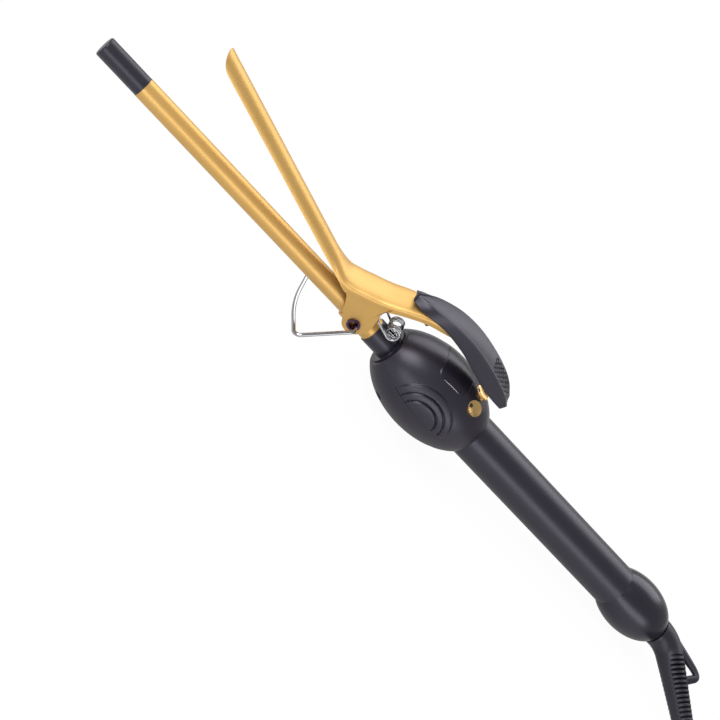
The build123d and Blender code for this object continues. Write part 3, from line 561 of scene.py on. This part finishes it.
clip = {
    "sheet": 0.7, "innerRadius": 4.75, "wrapDeg": 65.0, "frontX": -121.2, "endLength": 7.5,
    "halfWidth": ((-121.0, 4.94), (-38.0, 4.94), (-28.0, 5.2), (-20.0, 6.4), (-15.5, 7.03), (-2.0, 7.03),
                  (1.0, 6.75), (8.0, 5.75), (14.0, 4.5), (20.0, 2.3)),
    "low": ((-121.0, 2.0), (-38.0, 2.0), (-28.0, 2.5), (-20.0, 3.3), (-15.5, 3.9), (-9.0, 8.0), (-2.1, 16.4),
            (1.0, 20.8), (8.0, 28.4), (14.0, 32.2), (20.0, 34.8)),
    "crown": ((-121.0, 5.45), (-38.0, 5.45), (-25.0, 5.6), (-19.5, 6.2), (-15.5, 8.6), (-11.0, 12.7),
              (-6.0, 17.4), (1.0, 25.6), (8.0, 32.3), (14.0, 35.2), (20.0, 36.4)),
    "rise": ((-121.0, 3.0), (-38.0, 3.0), (-24.0, 2.3), (-15.5, 2.1), (-6.0, 2.2), (8.0, 1.7), (20.0, 0.8)),
    "boxFrom": -34.0, "boxFull": -17.0, "squareness": 2.5, "across": 49, "archShare": 0.7,
    "earFrontX": -15.5, "earRearX": -2.1, "lip": 1.0,
    "spoonRows": 16, "spoonLeast": 0.0006, "longStep": 4.0, "step": 0.4,
}


def clipSide(x):  # height at which the arch turns into the upright side
    return curveThrough(clip["crown"], x) - curveThrough(clip["rise"], x)


def clipLow(x):  # lower edge of the sheet
    return curveThrough(clip["low"], x)


def clipLip(x):  # lower edge over an ear, where the ear's own plate goes on
    return clipSide(x) - clip["lip"]


def clipSection(x, lowest):
    halfWidth, crown = curveThrough(clip["halfWidth"], x), curveThrough(clip["crown"], x)
    side = clipSide(x)
    outer = clip["innerRadius"] + clip["sheet"]
    narrow = 1.0
    if x < clip["frontX"] + clip["endLength"]:  # spoon end of the blade
        t = (clip["frontX"] + clip["endLength"] - x) / clip["endLength"]
        narrow = sqrt(max(1 - t * t, clip["spoonLeast"]))
    wrap = radians(clip["wrapDeg"]) * narrow
    square = smoothStep(clip["boxFrom"], clip["boxFull"], x)
    points = []
    for k in range(clip["across"]):
        t = 2 * k / (clip["across"] - 1) - 1
        share = abs(t) / clip["archShare"]
        if share <= 1:
            b = share * pi / 2
            y = halfWidth * sin(b) ** (2 / clip["squareness"])
            z = side + (crown - side) * max(cos(b), 0) ** (2 / clip["squareness"])
        else:
            y = halfWidth
            z = side + (lowest - side) * (abs(t) - clip["archShare"]) / (1 - clip["archShare"])
        y = y if t > 0 else -y
        roundY, roundZ = outer * sin(wrap * t), outer * cos(wrap * t)
        points.append((x, roundY + (y - roundY) * square, roundZ + (z - roundZ) * square))
    return points


def clipStrip(fromX, toX, step, lowest):  # rows of the sheet between two stations
    count = max(int((toX - fromX) / step), 1)
    stations = [fromX + (toX - fromX) * i / count for i in range(count + 1)]
    return [clipSection(x, lowest(x)) for x in stations]


def clipSheet():
    front, back = clip["frontX"] + clip["endLength"], clip["low"][-1][0]
    count, step = clip["spoonRows"], clip["step"]
    spoon = [clip["frontX"] + clip["endLength"] * (1 - cos(pi / 2 * i / count)) for i in range(count)]
    blade = [clipSection(x, clipLow(x)) for x in spoon]
    blade += clipStrip(front, clip["boxFrom"], clip["longStep"], clipLow)
    blade += clipStrip(clip["boxFrom"], clip["earFrontX"], step, clipLow)[1:]
    overEar = clipStrip(clip["earFrontX"], clip["earRearX"], step, clipLip)
    arm = clipStrip(clip["earRearX"], back, step, clipLow)
    verts, faces, seen = [], [], {}
    for rows in (blade, overEar, arm):  # points that two stretches share become one
        ids = []
        for point in [point for row in rows for point in row]:
            key = tuple(round(value, 4) for value in point)
            if key not in seen:
                seen[key] = len(verts)
                verts.append(point)
            ids.append(seen[key])
        faces += [tuple(ids[k] for k in face) for face in gridFaces(len(rows), clip["across"])]
    return verts, faces


def thicken(piece, amount, sharpDeg=35):
    sheet = piece.modifiers.new("sheet", "SOLIDIFY")
    sheet.thickness = amount * mm
    sheet.offset = -1.0
    sheet.use_even_offset = True
    solid = bpy.data.meshes.new_from_object(piece.evaluated_get(bpy.context.evaluated_depsgraph_get()))
    piece.modifiers.clear()
    piece.data = solid
    solid.set_sharp_from_angle(angle=radians(sharpDeg))


clipPiece = makePiece("clipSheet", *clipSheet(), clipMatrix, finishes["gold"], "clip_arm", "gold", 50)
thicken(clipPiece, clip["sheet"])
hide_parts("clip")

ear = {
    "hole": 2.45, "lobe": 5.0, "rings": 5, "perEdge": 8, "topSteps": 30, "slack": 1e-6,
    # rear edge and front edge: x, z and the angle on the hole that each point is joined to
    "rear": ((-2.1, 16.4, 84), (-1.9, 14.6, 79), (-0.9, 12.4, 72), (1.5, 9.4, 62), (3.9, 6.4, 48),
             (5.5, 3.4, 30)),
    "lobeDegs": (8, -20, -50, -80, -110, -132),
    "front": ((-6.7, -1.9, -172), (-10.6, 1.3, -205), (-13.4, 3.3, -224), (-15.5, 3.9, -230)),
    "topDegs": (-232, -272),
}


def earEdge():  # round the ear from its rear top, each point with its angle on the hole
    edge = list(ear["rear"])
    edge += [(ear["lobe"] * cos(radians(a)), ear["lobe"] * sin(radians(a)), a) for a in ear["lobeDegs"]]
    edge += list(ear["front"])
    firstDeg, lastDeg = ear["topDegs"]
    for i in range(ear["topSteps"] + 1):
        t = i / ear["topSteps"]
        x = clip["earFrontX"] + (clip["earRearX"] - clip["earFrontX"]) * t
        edge.append((x, clipLip(x), firstDeg + (lastDeg - firstDeg) * t))
    fine = []
    for (x0, z0, a0), (x1, z1, a1) in zip(edge[:-1], edge[1:]):
        off0, off1 = abs(x0 * x0 + z0 * z0 - ear["lobe"] ** 2), abs(x1 * x1 + z1 * z1 - ear["lobe"] ** 2)
        onLobe = max(off0, off1) < ear["slack"]
        for i in range(ear["perEdge"]):
            t = i / ear["perEdge"]
            x, z, a = x0 + (x1 - x0) * t, z0 + (z1 - z0) * t, a0 + (a1 - a0) * t
            if onLobe:
                x, z = x * ear["lobe"] / sqrt(x * x + z * z), z * ear["lobe"] / sqrt(x * x + z * z)
            fine.append((x, z, a))
    return fine


def earPlate(name, side):
    outerY = side * curveThrough(clip["halfWidth"], clip["earFrontX"])
    innerY = outerY - side * clip["sheet"]
    edge = earEdge()

    def ring(t, y):
        spots = []
        for x, z, a in edge:
            holeX, holeZ = ear["hole"] * cos(radians(a)), ear["hole"] * sin(radians(a))
            spots.append((holeX + (x - holeX) * t, y, holeZ + (z - holeZ) * t))
        return spots

    shares = [i / ear["rings"] for i in range(ear["rings"] + 1)]
    rings = [ring(t, outerY) for t in shares] + [ring(t, innerY) for t in shares[::-1]] + [ring(0, outerY)]
    verts, faces = closedGrid(rings, capEnds=False)
    if side > 0:
        faces = [face[::-1] for face in faces]
    makePiece(name, verts, faces, clipMatrix, finishes["gold"], "clip_arm", "gold", 35)


earPlate("clipEarNear", -1)
earPlate("clipEarFar", 1)

seat = {"x": 0.2, "z": 11.0, "tiltDeg": 43.0, "half": 1.6, "reach": 6.3}


def seatBar():
    c, s = cos(radians(seat["tiltDeg"])), sin(radians(seat["tiltDeg"]))
    half, thin = seat["half"], clip["sheet"] / 2
    corners = ((-half, -thin), (half, -thin), (half, thin), (-half, thin))
    rings = []
    for y in (-seat["reach"], seat["reach"]):
        rings.append([(seat["x"] + a * c + b * s, y, seat["z"] - a * s + b * c) for a, b in corners])
    makePiece("springSeat", *closedGrid(rings), clipMatrix, finishes["gold"], "clip_arm", "gold", 30)


seatBar()
print("clip made")


# Thumb rest: a moulded grip with a crowned top, a crease along each side and a diamond pad

rest = {
    "top": ((-1.8, 29.2), (2.0, 32.4), (6.6, 35.7), (14.3, 40.2), (24.0, 43.5), (36.0, 45.2),
            (46.0, 45.3), (52.0, 44.4), (56.4, 42.8)),
    "under": ((-1.8, 26.8), (4.0, 30.0), (8.0, 32.0), (14.0, 34.6), (20.0, 36.0), (27.0, 37.0),
              (44.0, 37.6), (50.0, 38.6), (56.4, 39.6)),
    "halfTop": ((-1.8, 0.7), (0.5, 2.4), (4.0, 4.0), (10.0, 5.2), (20.0, 5.8), (40.0, 5.9),
                (50.0, 5.5), (56.4, 4.4)),
    "halfLow": ((-1.8, 3.6), (0.5, 5.0), (4.0, 5.9), (10.0, 6.3), (40.0, 6.3), (50.0, 6.0), (56.4, 4.9)),
    "crown": -0.5, "crease": 0.3, "underHollow": 0.5, "across": 57, "step": 0.3,
    "padFrom": 37.5, "padTo": 55.0, "padHalf": 4.5, "padPitch": 2.5, "padDepth": 0.5, "padLine": 0.17,
    "padSlant": 0.9, "creaseRound": (0.3, 0.25), "sideSteps": 6, "sideFoot": 0.5,
    "footRound": ((0.0, 0.45), (0.12, 0.12), (0.45, 0.0)), "hollowShare": (0.6, 0.7),
    "endRound": ((0.06, 0.35), (0.16, 0.6), (0.34, 0.75)),
}


def padGroove(x, y):
    if not (rest["padFrom"] < x < rest["padTo"] and abs(y) < rest["padHalf"]):
        return 0.0
    u, v = x / rest["padPitch"], y / rest["padPitch"]
    deep = 0.0
    for line in (u + v * rest["padSlant"], u - v * rest["padSlant"]):
        away = abs(line - floor(line + 0.5))
        deep = max(deep, 1 - smoothStep(0.0, rest["padLine"], away))
    return rest["padDepth"] * deep


def restSection(x):
    top, under = curveThrough(rest["top"], x), curveThrough(rest["under"], x)
    halfTop, halfLow = curveThrough(rest["halfTop"], x), curveThrough(rest["halfLow"], x)
    crease = rest["crease"]
    ring = []
    count = rest["across"]
    for j in range(count):  # over the top
        t = 2 * j / (count - 1) - 1
        y = t * (halfTop - crease)
        ring.append((x, y, top + rest["crown"] * (1 - t * t) - padGroove(x, y)))
    roundY, roundZ = rest["creaseRound"]
    down = [(halfTop - crease * roundY, top - crease * roundZ), (halfTop, top - crease)]
    for k in range(1, rest["sideSteps"]):
        f = k / rest["sideSteps"]
        z = top - crease + (under + rest["sideFoot"] - top + crease) * f
        down.append((halfTop + (halfLow - halfTop) * f, z))
    down += [(halfLow - inward, under + lift) for inward, lift in rest["footRound"]]
    hollowY, hollowZ = rest["hollowShare"]
    low = [(halfLow * hollowY, under + rest["underHollow"] * hollowZ), (0.0, under + rest["underHollow"])]
    ring += [(x, y, z) for y, z in down + low]
    ring += [(x, -y, z) for y, z in (down + low[:-1])[::-1]]
    return ring


def closeEnd(ring, pull):  # shrink a ring towards its middle, to round an end
    middle = [sum(p[k] for p in ring) / len(ring) for k in range(3)]
    out = []
    for amount, push in rest["endRound"]:
        out.append([(
            p[0] + pull * push, p[1] + (middle[1] - p[1]) * amount, p[2] + (middle[2] - p[2]) * amount
        ) for p in ring])
    return out


restStart, restEnd = rest["top"][0][0], rest["top"][-1][0]
restCount = int((restEnd - restStart) / rest["step"])
restX = [restStart + (restEnd - restStart) * i / restCount for i in range(restCount + 1)]
restRings = [restSection(x) for x in restX]
restRings = closeEnd(restRings[0], -1.0)[::-1] + restRings + closeEnd(restRings[-1], 1.0)
restPiece = makePiece(
    "thumbRest", *closedGrid(restRings), clipMatrix, finishes["black_plastic"],
    "clip_arm", "black_plastic", 38,
)
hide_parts("thumb_rest")
print("thumb rest made")


# Spring: a copy of the frame's wire, baked into place between the neck and the clip

springPiece = bpy.data.objects.new("torsionSpring", frame["nodes"]["clip_spring"].data.copy())
bpy.context.collection.objects.link(springPiece)
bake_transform(springPiece)
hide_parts("clip_spring")
print("spring made")


# Floor, backdrop light and lamps

studio = {
    "floorSize": 8.0, "floorDrop": 0.0002, "floorRough": 0.9, "shade": 0.55,
    "glow": 0.92, "white": 1.04, "mirrorGlow": 0.3, "world": 0.38, "aim": (0, 0, 0.02),
}
lamps = {
    "frontSoftbox": {"place": (0.1, -0.75, 0.2), "size": (1.6, 0.30), "power": 4.0},
    "backSoftbox": {"place": (0.1, 0.66, 0.66), "size": (1.6, 0.66), "power": 8.0},
    "fillSoftbox": {"place": (-1.0, -0.3, 1.1), "size": (0.9, 0.9), "power": 15.0},
}
floorMesh = bpy.data.meshes.new("paleFloor")
reach = studio["floorSize"] / 2
floorPlan = ((-reach, -reach), (reach, -reach), (reach, reach), (-reach, reach))
floorCorners = [(x, y, -studio["floorDrop"]) for x, y in floorPlan]
floorMesh.from_pydata(floorCorners, [], [(0, 1, 2, 3)])
floorPiece = bpy.data.objects.new("paleFloor", floorMesh)
bpy.context.collection.objects.link(floorPiece)
floorMaterial, nodes, links, shader = newMaterial("palePaper")
shader.inputs["Base Color"].default_value = (studio["shade"],) * 3 + (1,)
shader.inputs["Roughness"].default_value = studio["floorRough"]
rays = nodes.new("ShaderNodeLightPath")


def rayShare(output, amount):
    share = nodes.new("ShaderNodeMath")
    share.operation = "MULTIPLY"
    share.inputs[1].default_value = amount
    links.new(rays.outputs[output], share.inputs[0])
    return share


def larger(a, b):
    pick = nodes.new("ShaderNodeMath")
    pick.operation = "MAXIMUM"
    links.new(a.outputs[0], pick.inputs[0])
    links.new(b.outputs[0], pick.inputs[1])
    return pick


share = larger(rayShare("Is Camera Ray", studio["glow"]), rayShare("Is Transmission Ray", studio["glow"]))
share = larger(share, rayShare("Is Glossy Ray", studio["mirrorGlow"]))
glow = nodes.new("ShaderNodeEmission")
glow.inputs["Strength"].default_value = studio["white"]
mixGlow = nodes.new("ShaderNodeMixShader")
links.new(share.outputs[0], mixGlow.inputs["Fac"])
links.new(shader.outputs["BSDF"], mixGlow.inputs[1])
links.new(glow.outputs["Emission"], mixGlow.inputs[2])
links.new(mixGlow.outputs["Shader"], nodes["Material Output"].inputs["Surface"])
floorMesh.materials.append(floorMaterial)

world = bpy.data.worlds.new("studioAir")
bpy.context.scene.world = world
world.use_nodes = True
worldNodes, worldLinks = world.node_tree.nodes, world.node_tree.links
air = worldNodes["Background"]
air.inputs["Color"].default_value = (1, 1, 1, 1)
airRays = worldNodes.new("ShaderNodeLightPath")
airLevel = worldNodes.new("ShaderNodeMapRange")
airLevel.inputs["To Min"].default_value = studio["world"]
airLevel.inputs["To Max"].default_value = 1.0
worldLinks.new(airRays.outputs["Is Camera Ray"], airLevel.inputs["Value"])
worldLinks.new(airLevel.outputs["Result"], air.inputs["Strength"])


def areaLamp(name, place, size, power):
    lamp = bpy.data.lights.new(name, "AREA")
    lamp.shape = "RECTANGLE"
    lamp.size, lamp.size_y = size
    lamp.energy = power
    holder = bpy.data.objects.new(name, lamp)
    bpy.context.collection.objects.link(holder)
    holder.location = place
    holder.rotation_euler = (Vector(studio["aim"]) - Vector(place)).to_track_quat("-Z", "Y").to_euler()


for name, lamp in lamps.items():
    areaLamp(name, lamp["place"], lamp["size"], lamp["power"])
print("studio set")
